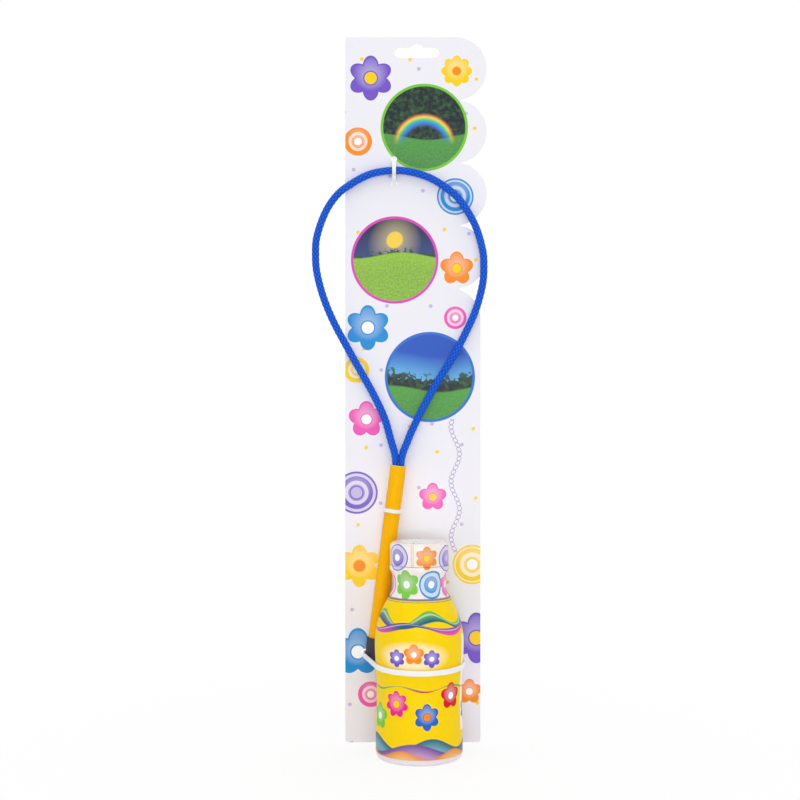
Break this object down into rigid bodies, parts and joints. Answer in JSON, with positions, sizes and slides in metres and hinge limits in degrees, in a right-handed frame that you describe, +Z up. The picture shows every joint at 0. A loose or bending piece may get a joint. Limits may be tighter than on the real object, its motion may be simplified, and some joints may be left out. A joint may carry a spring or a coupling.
{
  "type": "bubble wand",
  "caption": "Rope-loop bubble wand with a tube handle and a screw-capped bottle of bubble solution, cable-tied to a tall hang card with a hang slot and a scalloped edge.",
  "frame": {"origin": "centre of the bottle's base, on the surface the set stands on", "axes": "+Z up along the bottle's axis, -Y out of the front of the card, +X to the right as seen from the front"},
  "size_m": [0.1238, 0.0696, 0.502],
  "materials": {
    "card": null,
    "nylon": "natural white nylon",
    "tube": "glossy extruded tube, yellow-orange",
    "end_cap": "soft black moulding",
    "rope": "braided polyester, royal blue",
    "glue": "hot-melt glue",
    "bottle": "milky blown plastic, slightly translucent",
    "solution": "clear pinkish liquid",
    "cap": "white moulded plastic",
    "liner": "white foam wad",
    "seal_film": "glossy shrink film, whitish with soft coloured rings",
    "sleeve_film": "glossy shrink film, yellow with coloured ribbons"
  },
  "bodies": {
    "set": {"backing_card": "card", "rope_tie": "nylon", "handle_tie": "nylon", "bottle_tie": "nylon", "handle_tube": "tube", "end_cap": "end_cap", "rope_loop": "rope", "rope_glue_plug": "glue", "bottle": "bottle", "bubble_solution": "solution", "tamper_band": "cap", "neck_seal": "seal_film", "body_sleeve": "sleeve_film"},
    "liner": {"cap_liner": "liner"},
    "cap": {"screw_cap": "cap", "cap_seal": "seal_film"}
  },
  "joints": [
    {"name": "cap_rise", "type": "slide", "parent": "set", "child": "liner", "axis": [0, 0, 1], "range_m": [0, 0.02]},
    {"name": "cap_turn", "type": "hinge", "parent": "liner", "child": "cap", "pos_m": [0, 0, 0.1325], "axis": [0, 0, 1], "range_deg": [0, 1800]}
  ],
  "couplings": [
    {"joint": "cap_rise", "follows": "cap_turn", "m_per_rad": 0.00063662}
  ]
}
